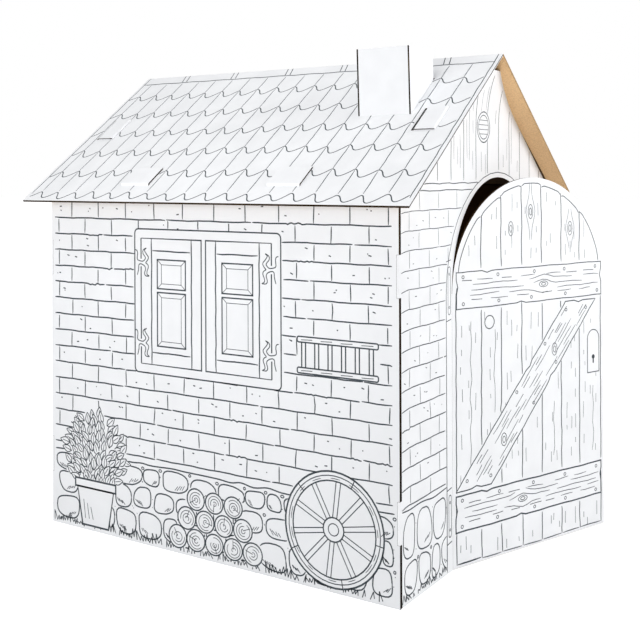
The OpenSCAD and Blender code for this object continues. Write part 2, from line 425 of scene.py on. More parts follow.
RAW_EDGES = {
    "wall": raw_edge_material("walls", UPRIGHT, (1, 0, 0), -LEFT_FACE, painted_shading=corner_painted_shade),
    "gable": raw_edge_material("gables", UPRIGHT, (0, 1, 0), -FRONT_FACE),
    "door": raw_edge_material("door", DOOR_ACROSS, tuple(-DOOR_OUT), DOOR_OUT.dot(HINGE)),
    "chimney_panel": raw_edge_material("chimney_panels", UPRIGHT, (1, 0, 0), -chimney_low.x),
}
for side, into, verge_colour, verge_liner in VERGE_LINERS:
    RAW_EDGES.update({
        side + "_eave": raw_edge_material(side + "_eave", ALONG_WALL, into, ROOF_FACE),
        side + "_verge": raw_edge_material(
            side + "_verge", DOWN_SLOPE, into, ROOF_FACE, verge_colour, verge_liner),
        side + "_flap": raw_edge_material(
            side + "_flaps", ALONG_WALL, into, ROOF_FACE, WHITE_CARD_DULL, FLAP_LINER),
        side + "_tab": raw_edge_material(
            side + "_tabs", ALONG_WALL, into, ROOF_FACE, WHITE_CARD_DULL, TAB_LINER),
    })
for side, low in (("near", chimney_near_low), ("far", chimney_far_low)):
    face = low.z * CHIMNEY_LEAN - low.y
    RAW_EDGES["chimney_" + side] = raw_edge_material(
        "chimney_" + side + "_side", UPRIGHT, THROUGH_CHIMNEY, face, WHITE_CARD_DULL, CHIMNEY_LINER)
PRINTING_INK = ink_material()


def finish_card(name, run, finish_of):
    """Gives each flat of a card piece its finish: white outside, kraft inside, raw where it was cut."""
    mesh = frame["nodes"][name].data
    mesh.materials.clear()
    places = {}
    for flat in mesh.polygons:
        finish = finish_of(flat)
        if finish not in places:
            places[finish] = len(places)
            sheets = {"white": WHITE_SHEETS[run], "kraft": KRAFT_SHEETS[run]}
            mesh.materials.append(sheets.get(finish) or RAW_EDGES[finish])
        flat.material_index = places[finish]


def over_roof(point):
    """Height of a point over the roof's outer slopes."""
    return abs(point.x) * SLOPE_SIN + (point.z - RIDGE_Z) * SLOPE_COS


def off_slope(normal, x):
    """How much a face looks straight off the roof slope that it lies on."""
    return math.copysign(normal.x, normal.x * x) * SLOPE_SIN + normal.z * SLOPE_COS


def slope_side(flat):
    return "left" if flat.center.x < 0 else "right"


def sheet_finish(out, edge):
    """Finish of a flat sheet's faces, for a sheet whose white side looks along out."""
    def finish_of(flat):
        lean = flat.normal.dot(out)
        if lean > 0.5:
            return "white"
        if lean < -0.5 and flat.normal.z < 0.3:
            return "kraft"
        return edge
    return finish_of


def wall_finish(out):
    """As sheet_finish, for a side wall, whose tabs lie on the roof."""
    plain = sheet_finish(out, "wall")

    def finish_of(flat):
        finish = plain(flat)
        return slope_side(flat) + "_flap" if finish == "wall" and over_roof(flat.center) > 0 else finish
    return finish_of


def on_fold(flat, lean):
    """Whether a face of a gable is part of the bend to one of its flanges."""
    return 0.05 < lean < 0.99 and abs(flat.normal.x) > 0.1 and abs(flat.normal.z) < 0.1


def gable_finish(out):
    """As sheet_finish, for a gable: white tabs on the roof and at the corners, and painted shade on the
    folds between.
    """
    def finish_of(flat):
        lean = flat.normal.dot(out)
        if over_roof(flat.center) > 0:
            on_top = abs(lean) > 0.4 or off_slope(flat.normal, flat.center.x) > 0.9
            return "white" if on_top else slope_side(flat) + "_tab"
        # Painted shade: the bend beside the wall takes the walls' dark cut-edge finish, for the shade in
        # the groove
        if on_fold(flat, lean):
            return "wall"
        if abs(lean) > 0.4:
            return "white" if lean > 0 else "kraft"
        if abs(flat.normal.x) > 0.6:
            return "white" if flat.normal.x * flat.center.x > 0 else "kraft"
        return "gable"
    return finish_of


def roof_finish(flat):
    if abs(flat.normal.z) > 0.7:
        return "white" if flat.normal.z > 0 else "kraft"
    return slope_side(flat) + ("_verge" if abs(flat.normal.y) > 0.9 else "_eave")


LEFTWARD = Vector((-1, 0, 0))
RIGHTWARD = Vector((1, 0, 0))
FRONTWARD = Vector((0, -1, 0))
REARWARD = Vector((0, 1, 0))

finish_card("left_wall", "wall", wall_finish(LEFTWARD))
finish_card("right_wall", "wall", wall_finish(RIGHTWARD))
finish_card("front_gable", "upright", gable_finish(FRONTWARD))
finish_card("rear_gable", "upright", gable_finish(REARWARD))
finish_card("door", "door", sheet_finish(DOOR_OUT, "door"))
finish_card("roof", "roof", roof_finish)
finish_card("chimney_lower_panel", "upright", sheet_finish(LEFTWARD, "chimney_panel"))
finish_card("chimney_upper_panel", "upright", sheet_finish(RIGHTWARD, "chimney_panel"))
finish_card("chimney_near_side", "upright", sheet_finish(FRONTWARD, "chimney_near"))
finish_card("chimney_far_side", "upright", sheet_finish(REARWARD, "chimney_far"))


# Pen work on flat sheets, in millimetres, x to the right and y up as seen from outside

def part_way(a, b, share):
    """The point at a share of the way from a to b."""
    return (a[0] + (b[0] - a[0]) * share, a[1] + (b[1] - a[1]) * share)


def sideways(a, b):
    """The unit step to the left of the way from a to b."""
    length = math.dist(a, b)
    return ((a[1] - b[1]) / length, (b[0] - a[0]) / length)


def around(cx, cy, r, turn):
    """The point on a circle at an angle in radians."""
    return (cx + r * math.cos(turn), cy + r * math.sin(turn))


def along(points, step):
    """The same path, with points no further apart than step."""
    path = [points[0]]
    for a, b in zip(points, points[1:]):
        count = max(1, math.ceil(math.dist(a, b) / step))
        path += [part_way(a, b, i / count) for i in range(1, count + 1)]
    return path


def smooth(points, steps=5):
    """A rounded path through the points."""
    ends = [points[0], *points, points[-1]]
    path = []
    for p, q, r, s in zip(ends, ends[1:], ends[2:], ends[3:]):
        for i in range(steps):
            t = i / steps
            path.append(tuple(
                q[k] + t / 2 * (r[k] - p[k] + t * (
                    2 * p[k] - 5 * q[k] + 4 * r[k] - s[k] + t * (3 * q[k] - p[k] - 3 * r[k] + s[k])))
                for k in (0, 1)))
    return path + [points[-1]]


def arc(cx, cy, rx, ry, start, end, spacing=15):
    """Points on a round from one angle to another, in degrees."""
    count = max(4, math.ceil(abs(end - start) / spacing))
    angles = [math.radians(start + (end - start) * i / count) for i in range(count + 1)]
    return [(cx + rx * math.cos(a), cy + ry * math.sin(a)) for a in angles]


def ring(cx, cy, rx, ry=None, spacing=20):
    return arc(cx, cy, rx, ry or rx, 0, 360, spacing)[:-1]


def rounded_box(x0, y0, x1, y1, r):
    """Closed outline of a box with round corners."""
    corners = ((x1 - r, y1 - r, 0), (x0 + r, y1 - r, 90), (x0 + r, y0 + r, 180), (x1 - r, y0 + r, 270))
    return [point for cx, cy, a in corners for point in arc(cx, cy, r, r, a, a + 90, spacing=30)]


def box_outline(x0, y0, x1, y1):
    return [(x0, y0), (x1, y0), (x1, y1), (x0, y1)]


def inside(point, outline):
    x, y = point
    within = False
    for (ax, ay), (bx, by) in zip(outline, outline[1:] + outline[:1]):
        if (ay > y) != (by > y) and x < ax + (y - ay) / (by - ay) * (bx - ax):
            within = not within
    return within


class Sheet:
    """Ink strokes of one drawing, their weight by place, and the shapes that hide later strokes."""

    def __init__(self, seed, edge, weight):
        self.hand = random.Random(seed)
        self.edge = edge
        self.weight = weight
        self.strokes = []
        self.covers = []

    def ink(self, points, width=LINE, closed=False):
        self.strokes.append((list(points), width, closed))

    def shape(self, outline, width=LINE):
        """A closed outline in front of all that is drawn after it."""
        self.behind(outline, width, closed=True)
        self.covers.append(outline)

    def behind(self, points, width=LINE, closed=False, step=9):
        """A stroke that stops where a shape covers it."""
        path = list(points)
        spots = along(path + path[:1] if closed else path, step=step)
        if not any(self.covered(point) for point in spots):
            self.ink(path, width, closed)
            return
        run = []
        for point in spots:
            if self.covered(point):
                self.end_run(run, width)
                run = []
            else:
                run.append(point)
        self.end_run(run, width)

    def end_run(self, run, width):
        if len(run) > 1:
            self.ink(run, width)

    def covered(self, point):
        return not inside(point, self.edge) or any(inside(point, outline) for outline in self.covers)

    def freehand(self, a, b, stray=0.8, step=16):
        """Points from a to b that stray sideways a little, as a pen does."""
        length = math.dist(a, b)
        count = max(2, round(length / step))
        side = sideways(a, b)
        wave = self.hand.uniform(70, 150)
        starts = [self.hand.uniform(0, 2 * math.pi) for _ in range(2)]
        path = []
        for i in range(count + 1):
            share = i / count
            turn = 2 * math.pi * share * length / wave
            off = stray * (0.7 * math.sin(turn + starts[0]) + 0.3 * math.sin(2.7 * turn + starts[1]))
            x, y = part_way(a, b, share)
            path.append((x + off * side[0], y + off * side[1]))
        return path

    def dash(self, x, y, length, angle, width=FINE):
        """A short straight stroke about a point, at an angle in degrees."""
        dx = length / 2 * math.cos(math.radians(angle))
        dy = length / 2 * math.sin(math.radians(angle))
        if not self.covered((x, y)):
            self.ink([(x - dx, y - dy), (x + dx, y + dy)], width)


# Drawings that more than one panel carries

COURSE = 40.2
BRICK = 90.3
PLINTH_TOP = 190
STONE_FOOT = 14


def cracked(sheet, path, first, count):
    """Roughens a stretch of a line, as where the edge of a brick has crumbled."""
    return [
        (x, y + sheet.hand.uniform(-2.2, 2.2)) if first <= i < first + count else (x, y)
        for i, (x, y) in enumerate(path)]


def course_line(sheet, x0, x1, y, width, droop):
    """A mortar line in a few long strokes, some of them cracked, drooping by the fold."""
    x = x0
    while x < x1 - 20:
        end = min(x1, x + sheet.hand.uniform(160, 420))
        if x1 - end < 60:
            end = x1
        path = sheet.freehand((x, y), (end, y + sheet.hand.uniform(-0.8, 0.8)), stray=0.9)
        if sheet.hand.random() < 0.3:
            path = along(path, step=6)
            first = sheet.hand.randrange(len(path))
            path = cracked(sheet, path, first, sheet.hand.randint(5, 9))
        sheet.behind([(px, py - droop(px)) for px, py in path], width)
        x = end + sheet.hand.uniform(2, 5)


def brick_joints(sheet, x0, x1, low, high, first, width):
    """Upright joints of one course, and the small marks on its bricks."""
    for k in range(math.ceil((x1 - first) / BRICK) + 1):
        x = first + k * BRICK + sheet.hand.uniform(-2, 2)
        if x0 + 8 < x < x1 - 3:
            foot = low + sheet.hand.uniform(0.5, 4)
            head = high - sheet.hand.uniform(0.5, 5)
            lean = sheet.hand.uniform(-1.2, 1.2)
            stray = 1.8 if sheet.hand.random() < 0.12 else 0.5
            sheet.behind(sheet.freehand((x, foot), (x + lean, head), stray=stray, step=9), width * 0.9)
        for _ in range(sheet.hand.choice((0, 0, 1, 1, 2, 2))):
            mark_x = x - sheet.hand.uniform(12, BRICK - 12)
            mark_y = sheet.hand.uniform(low + 9, high - 9)
            if x0 + 4 < mark_x < x1 - 4:
                length = sheet.hand.uniform(2, 8)
                sheet.dash(mark_x, mark_y, length, sheet.hand.uniform(-25, 10), width * 0.8)


def brickwork(sheet, x0, x1, foot, lines, top, firsts, width=LINE, droop=lambda x: 0):
    """Running bond between two uprights, from the top course line down to the foot line."""
    for row, y in enumerate(lines):
        course_line(sheet, x0, x1, y, width, droop)
        high = lines[row - 1] if row else top
        brick_joints(sheet, x0, x1, y, high, firsts[row % 2], width)
    course_line(sheet, x0, x1, foot, width, droop)
    brick_joints(sheet, x0, x1, foot, lines[-1], firsts[len(lines) % 2], width)


def stone(sheet, cx, cy, rx, ry, width):
    """A rounded field stone with a few strokes of shade at its lower side."""
    starts = [sheet.hand.uniform(0, 2 * math.pi) for _ in range(2)]
    outline = []
    for i in range(22):
        a = 2 * math.pi * i / 22
        swell = 1 + 0.07 * math.sin(2 * a + starts[0]) + 0.05 * math.sin(3 * a + starts[1])
        c, s = math.cos(a), math.sin(a)
        outline.append((
            cx + rx * swell * math.copysign(abs(c) ** 0.72, c),
            cy + ry * swell * math.copysign(abs(s) ** 0.72, s)))
    sheet.behind(outline, width, closed=True)
    side = sheet.hand.choice((-1, 1))
    for i in range(sheet.hand.randint(2, 5)):
        x = cx + side * rx * (0.62 - 0.17 * i)
        y = cy - ry * (0.45 + 0.05 * i)
        sheet.dash(x, y, sheet.hand.uniform(8, 16), side * sheet.hand.uniform(35, 60), FAINT)


def rubble(sheet, x0, x1, foot, top, rows=(0, 0.38, 0.71, 1), width=LINE):
    """Plinth of field stones in mortar, in rough rows."""
    for low, high in zip(rows, rows[1:]):
        x = x0 + sheet.hand.uniform(0, 10)
        while x < x1 - 24:
            wide = min(sheet.hand.uniform(44, 92), x1 - x)
            middle = foot + (low + high) / 2 * (top - foot) + sheet.hand.uniform(-3, 3)
            ry = (high - low) * (top - foot) / 2 - 4 + sheet.hand.uniform(-2, 2)
            stone(sheet, x + wide / 2, middle, wide / 2 - 4, ry, width)
            if sheet.hand.random() < 0.5:
                pebble = ring(x + wide, middle + ry, sheet.hand.uniform(2.5, 4.5), 3, spacing=45)
                sheet.behind(pebble, FINE, closed=True)
            for _ in range(2):
                grit_x = x + wide + sheet.hand.uniform(-3, 3)
                sheet.dash(grit_x, middle + sheet.hand.uniform(-ry, ry), 1.6, 0)
            x += wide
    crest = []
    x = x0
    while x < x1:
        crest.append((x, PLINTH_TOP + sheet.hand.uniform(-4, 3)))
        x += sheet.hand.uniform(24, 46)
    sheet.behind(smooth(crest + [(x1, PLINTH_TOP)], steps=4), width)


def grass(sheet, x0, x1, height=24):
    """A ragged line of blades along the foot of a wall."""
    x = x0
    blades = [(x, 6)]
    while x < x1 - 12:
        reach = sheet.hand.uniform(0.3, 1) * height
        lean = sheet.hand.uniform(-5, 5)
        blades.append((x + 3 + lean, 8 + reach))
        x += sheet.hand.uniform(5, 11)
        blades.append((x, 6 + sheet.hand.uniform(0, 5)))
        if sheet.hand.random() < 0.12:
            sheet.behind(blades, FINE, step=6)
            x += sheet.hand.uniform(6, 20)
            blades = [(x, 6)]
    if len(blades) > 2:
        sheet.behind(blades, FINE, step=6)


def grain(sheet, x0, x1, low, top_at, spacing, width, reach=1):
    """Upright strokes of wood grain on one plank, in loose columns, short unless given more reach."""
    count = max(1, round((x1 - x0 - 12) / spacing))
    for k in range(count):
        x = x0 + 6 + (x1 - x0 - 12) * (k + 0.5) / count
        y = low + sheet.hand.uniform(6, 60)
        while True:
            spot = x + sheet.hand.uniform(-4, 4)
            end = y + reach * sheet.hand.uniform(9, 42)
            if end > top_at(spot) - 8:
                break
            if sheet.hand.random() < 0.72:
                stroke = sheet.freehand((spot, y), (spot + sheet.hand.uniform(-1, 1), end), stray=0.7)
                sheet.behind(stroke, width)
            y = end + sheet.hand.uniform(14, 60)


# Side walls: brick over a stone plinth, and a shuttered window

WALL_COURSES = [770 - COURSE * k for k in range(14)]
WALL_FOOT_LINE = 207
WALL_FIRST_JOINTS = (73, 27)
WALL_MARGIN = 12
WALL_TOP = 815

WINDOW = (284, 408, 710, 748)
SHUTTER_W = 184
SHUTTER_LOW = 429
SHUTTER_TOP = 726
SHUTTER_HINGES = (669, 479)
SHUTTER_STILES = (33, 29)
SHUTTER_RAILS = (458, 697)
SHUTTER_PANELS = ((609, 677), (474, 600))
PANEL_W = 86
PANEL_INSET = 18
BEVEL = 13
BEVEL_LINE = 1.4
FRAME_LEFT = 20
FRAME_RIGHT = 25

# One scrolled hinge from its middle outwards, as four curled arms
HINGE_ARMS = (
    ((-19, 29), (-13, 27), (-11, 20), (-12, 7), (-3, 3), (7, 3), (14, 11), (6, 21), (7, 29), (17, 34)),
    ((17, 34), (11, 29), (15, 22), (23, 13), (21, 6), (14, -1)),
    ((14, -1), (21, -5), (23, -11), (19, -21), (19, -28), (26, -32)),
    ((26, -32), (15, -32), (11, -26), (14, -15), (10, -8), (-1, -4), (-7, -7), (-8, -17), (-12, -31)),
)


def bevelled_panel(sheet, x0, y0, x1, y1):
    outer = box_outline(x0, y0, x1, y1)
    inner = box_outline(x0 + BEVEL, y0 + BEVEL * 0.9, x1 - BEVEL, y1 - BEVEL * 0.9)
    sheet.ink(outer, LINE, closed=True)
    sheet.ink(inner, BEVEL_LINE, closed=True)
    for outer_corner, inner_corner in zip(outer, inner):
        sheet.ink([outer_corner, inner_corner], BEVEL_LINE)


def scrolled_hinge(sheet, x, y, side):
    """Hinge across the seam between a shutter and the window frame."""
    for arm in HINGE_ARMS:
        sheet.ink(smooth([(x + side * dx, y + dy) for dx, dy in arm], steps=4), FINE)


def shutter(sheet, x0, side):
    """One shutter, with its hinges on the side given by the sign."""
    x1 = x0 + SHUTTER_W
    seam, free = (x0, x1) if side < 0 else (x1, x0)
    left_stile, right_stile = SHUTTER_STILES if side < 0 else SHUTTER_STILES[::-1]
    sheet.ink([(seam, SHUTTER_TOP), (free, SHUTTER_TOP), (free, SHUTTER_LOW), (seam, SHUTTER_LOW)], LINE)
    top = SHUTTER_TOP
    for y in SHUTTER_HINGES:
        scrolled_hinge(sheet, seam, y, -side)
        sheet.ink([(seam, top), (seam, y + 8)], LINE)
        top = y - 10
    sheet.ink([(seam, top), (seam, SHUTTER_LOW)], LINE)
    for x in (x0 + left_stile, x1 - right_stile):
        sheet.ink(sheet.freehand((x, SHUTTER_LOW), (x, SHUTTER_TOP)), LINE)
    for y in SHUTTER_RAILS:
        sheet.ink(sheet.freehand((x0 + left_stile + 3, y), (x1 - right_stile - 4, y)), LINE)
    panel_x = x0 + left_stile + PANEL_INSET
    for low, top in SHUTTER_PANELS:
        bevelled_panel(sheet, panel_x, low, panel_x + PANEL_W, top)


def shuttered_window(sheet):
    x0, y0, x1, y1 = WINDOW
    sheet.shape(rounded_box(x0, y0, x1, y1, 11), LINE)
    shutter(sheet, x0 + FRAME_LEFT, -1)
    shutter(sheet, x1 - FRAME_RIGHT - SHUTTER_W, 1)


def cart_wheel(sheet, cx, cy, r):
    """Spoked wooden wheel leaning on the wall."""
    rim, hub = r * 0.84, r * 0.21
    spokes, rim_marks = 10, 14
    sheet.ink(ring(cx, cy, r, spacing=8), BOLD, closed=True)
    sheet.ink(ring(cx, cy, r - 9, spacing=8), FINE, closed=True)
    sheet.ink(ring(cx, cy, rim, spacing=9), LINE, closed=True)
    for k in range(rim_marks):
        start = 360 * k / rim_marks + sheet.hand.uniform(0, 8)
        end = start + sheet.hand.uniform(7, 15)
        sheet.ink(arc(cx, cy, r * 0.88, r * 0.88, start, end, spacing=4), FAINT)
    sheet.ink(ring(cx, cy, hub), LINE, closed=True)
    sheet.ink(ring(cx, cy, hub * 0.5), FINE, closed=True)
    for k in range(spokes):
        a = 2 * math.pi * (k + 0.3) / spokes
        for edge in (-1, 1):
            near, far = a + edge * 0.2, a + edge * 0.055
            sheet.ink([around(cx, cy, hub, near), around(cx, cy, rim, far)], FINE)
        if k % 2:
            joint = a + math.pi / spokes
            sheet.ink([around(cx, cy, rim, joint), around(cx, cy, r, joint)], FINE)
    sheet.covers.append(ring(cx, cy, r))


def log_end(sheet, cx, cy, r):
    """Sawn end of a log, with rings and a crack."""
    lean = sheet.hand.uniform(0, 360)
    sheet.shape(arc(cx, cy, r, r * sheet.hand.uniform(0.92, 1), lean, lean + 345, spacing=18), LINE)
    for share in (0.72, 0.45, 0.2):
        start = sheet.hand.uniform(0, 360)
        end = start + sheet.hand.uniform(220, 330)
        sheet.ink(arc(cx + 1, cy - 1, r * share, r * share * 0.95, start, end), FAINT)
    a = math.radians(sheet.hand.uniform(0, 360))
    sheet.ink([(cx, cy), around(cx, cy, 0.8 * r, a)], FAINT)


def log_pile(sheet, x, foot, r):
    for row, count in enumerate((5, 4, 3)):
        for k in range(count):
            cx = x + (2 * k + row) * r
            log_end(sheet, cx, foot + r + row * r * 1.73, r * sheet.hand.uniform(0.93, 0.99))


def leaf(sheet, x, y, length, angle):
    """A pointed leaf with a midrib, growing from a point at an angle in degrees."""
    c, s = math.cos(math.radians(angle)), math.sin(math.radians(angle))
    half = [(0, 0), (0.3, 0.24), (0.62, 0.22), (1, 0)]
    sides = [
        [(x + length * (u * c - m * v * s), y + length * (u * s + m * v * c)) for u, v in half]
        for m in (1, -1)]
    outline = smooth(sides[0], steps=3) + smooth(sides[1], steps=3)[::-1][1:-1]
    sheet.behind(outline, FINE, closed=True, step=5)
    sheet.behind([(x, y), (x + 0.75 * length * c, y + 0.75 * length * s)], FAINT, step=5)
    sheet.covers.append(outline)


def potted_shrub(sheet, x, foot):
    """A round clipped shrub in a clay pot."""
    rim_h, pot_h, pot_w, ball_r = 20, 92, 122, 92
    foot_half, top_half, rim_half = pot_w * 0.36, pot_w / 2, pot_w * 0.56
    pot_top = foot + pot_h
    pot = [(x - foot_half, foot), (x + foot_half, foot), (x + top_half, pot_top), (x - top_half, pot_top)]
    sheet.shape(pot, BOLD)
    sheet.shape(box_outline(x - rim_half, pot_top, x + rim_half, pot_top + rim_h), BOLD)
    for k in range(3):
        sheet.ink([(x - 34 + 13 * k, foot + 16), (x - 40 + 12 * k, foot + 62 - 8 * k)], FAINT)
    ball_y = pot_top + rim_h + ball_r - 14
    leaves, leaf_turn = 90, 137.5
    spots = []
    for k in range(leaves):
        reach = ball_r * math.sqrt((k + 0.5) / leaves)
        spots.append(around(x, ball_y, reach, math.radians(leaf_turn * k)))
    for lx, ly in sorted(spots, key=lambda spot: spot[1]):
        lean = 90 - 75 * (lx - x) / ball_r + sheet.hand.uniform(-30, 30)
        leaf(sheet, lx, ly - 14, sheet.hand.uniform(27, 35), lean)
    sheet.covers.append(ring(x, ball_y, ball_r * 0.9))


def hung_ladder(sheet, x0, y0, length, height):
    """A short ladder hung level on the wall."""
    bar = 12
    for y in (y0, y0 + height - bar):
        sheet.shape(rounded_box(x0, y, x0 + length, y + bar, 4), LINE)
        for k in range(4):
            start = x0 + 10 + k * length / 4
            sheet.ink(sheet.freehand((start, y + 5), (start + length / 7, y + 6), stray=0.5), FAINT)
    rungs, rung_half = 6, 5
    for k in range(rungs):
        middle = x0 + length * (k + 0.5) / rungs
        for x in (middle - rung_half, middle + rung_half):
            sheet.ink([(x, y0 + bar), (x, y0 + height - bar)], LINE)
    sheet.covers.append(box_outline(x0, y0, x0 + length, y0 + height))


def yard_things(sheet):
    """Plain things along the foot of the wall, and one hung on it."""
    cart_wheel(sheet, cx=842, cy=132, r=122)
    log_pile(sheet, x=415, foot=12, r=27)
    potted_shrub(sheet, x=150, foot=12)
    hung_ladder(sheet, x0=752, y0=452, length=200, height=78)


def wall_weight(x, _):
    """Weight of the pen on a wall, heavier towards its left end."""
    return 1.15 - 0.17 * x / WALL_L


def wall_drawing(seed, decorated):
    sheet = Sheet(seed, box_outline(4, 3, WALL_L - 4, WALL_TOP + 4), wall_weight)
    if decorated:
        shuttered_window(sheet)
        yard_things(sheet)
    grass(sheet, 8, WALL_L - 12)
    brickwork(
        sheet, WALL_MARGIN, WALL_L - 16, WALL_FOOT_LINE, WALL_COURSES, WALL_TOP, WALL_FIRST_JOINTS)
    rubble(sheet, WALL_MARGIN, WALL_L - WALL_MARGIN, STONE_FOOT, PLINTH_TOP - 6)
    return sheet


# Gables: brick below, a level band, and upright boards up to the roof

GABLE_EDGE = GABLE_W / 2 - 10
GABLE_COURSES = [799 - COURSE * k for k in range(15)]
GABLE_FOOT_LINE = 199
GABLE_FIRST_JOINTS = (-328 - BRICK, -372)
BAND_LOW = 840
BAND_TOP = 855
GABLE_BOARD = 66
GABLE_BOARD_SHIFT = 22
GABLE_BOARD_LINE = 3.8
GABLE_GRAIN_LINE = 2.1
GABLE_BRICK_LINE = 2.5
GABLE_STONE_LINE = 2.7
TRIM_POST = 28
TRIM_CROWN = 12
TRIM_HINGES = ((77, 169), (566, 671))
TRIM_LEAF_X = HINGE_X - 13
TRIM_LEAF_HALF = 6
TRIM_X = HINGE_X + DOOR_R


def under_roof(x):
    """Height of the roof's underside on a gable."""
    return RIDGE_MM - abs(x) * SLOPE_SIN / SLOPE_COS - BOARD_MM / SLOPE_COS


def fold_droop(x):
    """How far a line sinks beside the fold at the left edge of the gable."""
    return 5 * max(0, (-GABLE_W / 2 + 45 - x) / 40) ** 2


def doorway_trim(sheet):
    """Plain architrave around the doorway, wider at its posts, with the leaves of two hinges."""
    outline = [(TRIM_X + DOOR_R + TRIM_POST, 4)]
    for a in range(0, 181, 9):
        turn = math.radians(a)
        r = DOOR_R + TRIM_CROWN + (TRIM_POST - TRIM_CROWN) * abs(math.cos(turn)) ** 3
        outline.append(around(TRIM_X, SPRING_Z, r, turn))
    outline.append((TRIM_X - DOOR_R - TRIM_POST, 4))
    sheet.ink(along(outline, step=30), LINE)
    sheet.covers.append(outline)
    left, right = TRIM_LEAF_X - TRIM_LEAF_HALF, TRIM_LEAF_X + TRIM_LEAF_HALF
    for low, top in TRIM_HINGES:
        sheet.ink(rounded_box(left, low, right, top, 5.5), FINE, closed=True)
        for y in (low + 16, top - 16):
            sheet.ink(ring(TRIM_LEAF_X, y, 2.5, spacing=45), FAINT, closed=True)
        for y in (low - 14, top + 12):
            sheet.ink([(HINGE_X - TRIM_POST, y), (HINGE_X - 4, y + 3)], FINE)


def gable_boards(sheet):
    """Upright boards above the band, with grain."""
    count = int(GABLE_EDGE // GABLE_BOARD)
    joints = [GABLE_BOARD * k + GABLE_BOARD_SHIFT for k in range(-count - 1, count + 1)]
    foot = BAND_TOP + 6
    for x in joints:
        top = under_roof(x) - 8
        if top > foot + 10:
            joint = sheet.freehand((x, foot), (x + sheet.hand.uniform(-2, 2), top))
            sheet.behind(along(joint, step=9), GABLE_BOARD_LINE)
        if top > foot + 60:
            grain(sheet, x, x + GABLE_BOARD, foot, under_roof, spacing=18, width=GABLE_GRAIN_LINE, reach=3)


def round_vent(sheet, x, y, r):
    """Round louvred vent high in the gable."""
    sheet.ink(ring(x, y, r, spacing=12), BOLD, closed=True)
    sheet.ink(ring(x, y, r * 0.78, spacing=12), LINE, closed=True)
    for share in (-0.45, -0.15, 0.15, 0.45):
        half = r * math.sqrt(0.78 ** 2 - share ** 2)
        sheet.ink([(x - half, y + share * r), (x + half, y + share * r)], FINE)
    sheet.covers.append(ring(x, y, r))


def gable_weight(_, y):
    """Weight of the pen on a gable, heavier towards the foot and even from the top courses up."""
    return max(0.65, 1.19 - 0.6 * y / BAND_LOW)


def gable_drawing(seed, doorway):
    reach = GABLE_W / 2 - 3
    sheet = Sheet(seed, [
        (-reach, 3), (reach, 3), (reach, under_roof(reach) - 4), (TIP_CUT, under_roof(TIP_CUT) - 4),
        (-TIP_CUT, under_roof(TIP_CUT) - 4), (-reach, under_roof(reach) - 4)], gable_weight)
    if doorway:
        doorway_trim(sheet)
    round_vent(sheet, x=0, y=985, r=36)
    gable_boards(sheet)
    for y in (BAND_LOW, BAND_TOP):
        sheet.behind(sheet.freehand((-GABLE_EDGE, y), (GABLE_EDGE, y), stray=1.2), LINE)
    grass(sheet, -GABLE_EDGE, GABLE_EDGE, 18)
    brickwork(
        sheet, -GABLE_EDGE, GABLE_EDGE, GABLE_FOOT_LINE, GABLE_COURSES, BAND_LOW, GABLE_FIRST_JOINTS,
        GABLE_BRICK_LINE, fold_droop)
    rubble(
        sheet, -GABLE_EDGE, GABLE_EDGE, STONE_FOOT, PLINTH_TOP - 10, rows=(0, 0.45, 1),
        width=GABLE_STONE_LINE)
    return sheet


# Door: upright planks under two ledges and a brace

PLANK_LEFT = 12
PLANK_RIGHT = 502
PLANK_FOOT = 7
PLANK_JOINTS = (89, 154, 222, 289, 358, 423)
PLANK_TOP_R = DOOR_R - 14
PLANK_LINE = 2.5
PLANK_DROPS = (2, 6, 2, 0, 4, 6, 1)
LOW_BAY_TOP = 80
MIDDLE_BAY = (158, 576)
HIGH_BAY_FOOT = 655
LOW_GRAIN = 1.3
MIDDLE_GRAIN = 1.15
HIGH_GRAIN = 1.1
PLANK_KNOTS = ((252, 786), (186, 748), (390, 742))
KNOT_HOLE = (116, 538, 15)
LOW_LEDGE = (10, 502, 79, 159)
HIGH_LEDGE = (14, 504, 574, 656)
LEDGE_NICKS = (0.42, 0.55, 0.8, 0.3)
BRACE_FOOT = (10, 169)
BRACE_RUN = (363, 396)
BRACE_W = 110
BRACE_NICKS = (0.6, 0.55, 0.5, 0.35)
BRACE_KNOTS = ((64, 0.24), (62, 0.72))
BRACE_MIDDLE = 62
BRACE_KNOT_ROOM = 18
BRACE_NAILS = (
    (16, 0.05), (90, 0.05), (20, 0.95), (92, 0.95), (12, 0.5), (98, 0.42), (14, 0.76), (96, 0.64))
LOCK_PLATE = (453, 496, 383, 488)
KEYHOLE_Y = 421
NAIL_R = 3.6

# Long wavy strokes of grain on the planks: x, and the heights they run between
LONG_GRAIN = ((56, 215, 545), (131, 330, 520), (330, 200, 330), (472, 190, 350))


def plank_top(x):
    """Height of the planks' rounded top on the door."""
    reach = min(PLANK_TOP_R, abs(x - DOOR_R))
    return SPRING_Z + math.sqrt(PLANK_TOP_R ** 2 - reach ** 2)


def nail(sheet, x, y):
    sheet.ink(ring(x, y, NAIL_R, spacing=45), FAINT, closed=True)


def knot(sheet, x, y, rx, ry):
    """Knot in the wood: an eye with a ring round it."""
    sheet.ink(ring(x, y, rx, ry, spacing=30), FAINT, closed=True)
    sheet.ink(ring(x, y, rx * 0.5, ry * 0.5, spacing=40), FAINT, closed=True)


def nicked_edge(sheet, a, b, share):
    """An edge of a board with one small nick, at a share of its length."""
    path = sheet.freehand(a, b, stray=0.8)
    side = sideways(a, b)
    spot = max(1, round(share * (len(path) - 1)))
    x, y = path[spot]
    path[spot] = (x + 4 * side[0], y + 4 * side[1])
    return path


def nicked_outline(sheet, corners, shares):
    """Closed outline of a board with a nick in each edge."""
    outline = []
    for a, b, share in zip(corners, corners[1:] + corners[:1], shares):
        outline += nicked_edge(sheet, a, b, share)[:-1]
    return outline


